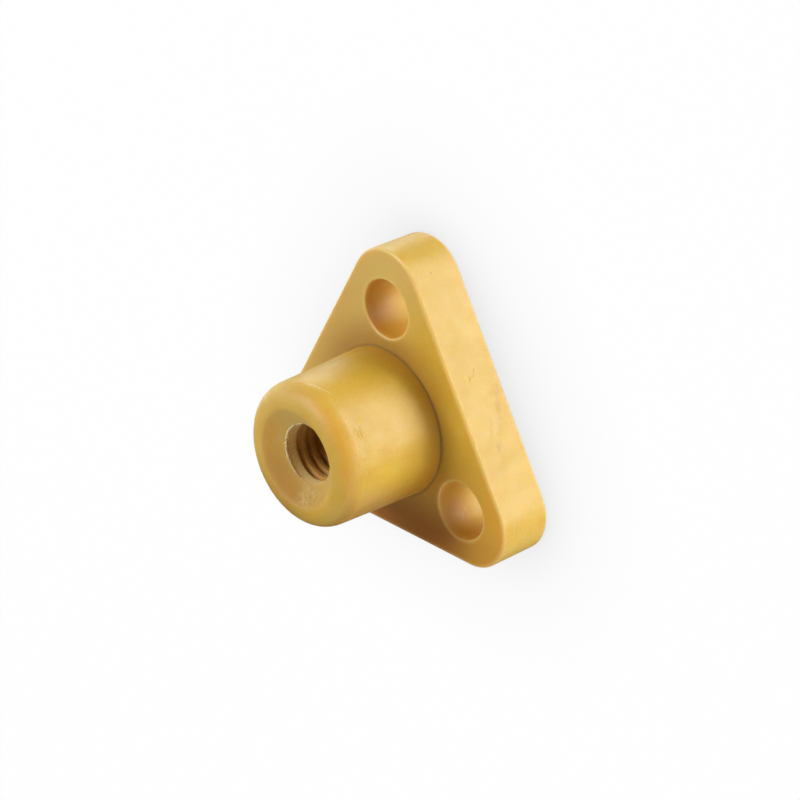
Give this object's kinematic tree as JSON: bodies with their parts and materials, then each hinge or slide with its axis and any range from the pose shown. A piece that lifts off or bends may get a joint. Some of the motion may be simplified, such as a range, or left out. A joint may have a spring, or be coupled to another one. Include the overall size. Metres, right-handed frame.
{
  "type": "lead screw nut",
  "caption": "Moulded plastic lead screw nut: thick triangular flange with a bolt hole in each corner, and a round-nosed barrel with a threaded bore.",
  "frame": {"origin": "on the screw axis, in the plane of the flange's back face", "axes": "+Z along the screw axis, out through the barrel's nose; +Y towards one corner of the flange"},
  "size_m": [0.0458, 0.0415, 0.0249],
  "materials": {
    "moulded_polymer": "satin"
  },
  "bodies": {
    "root": {"nut_body": "moulded_polymer"}
  },
  "joints": []
}
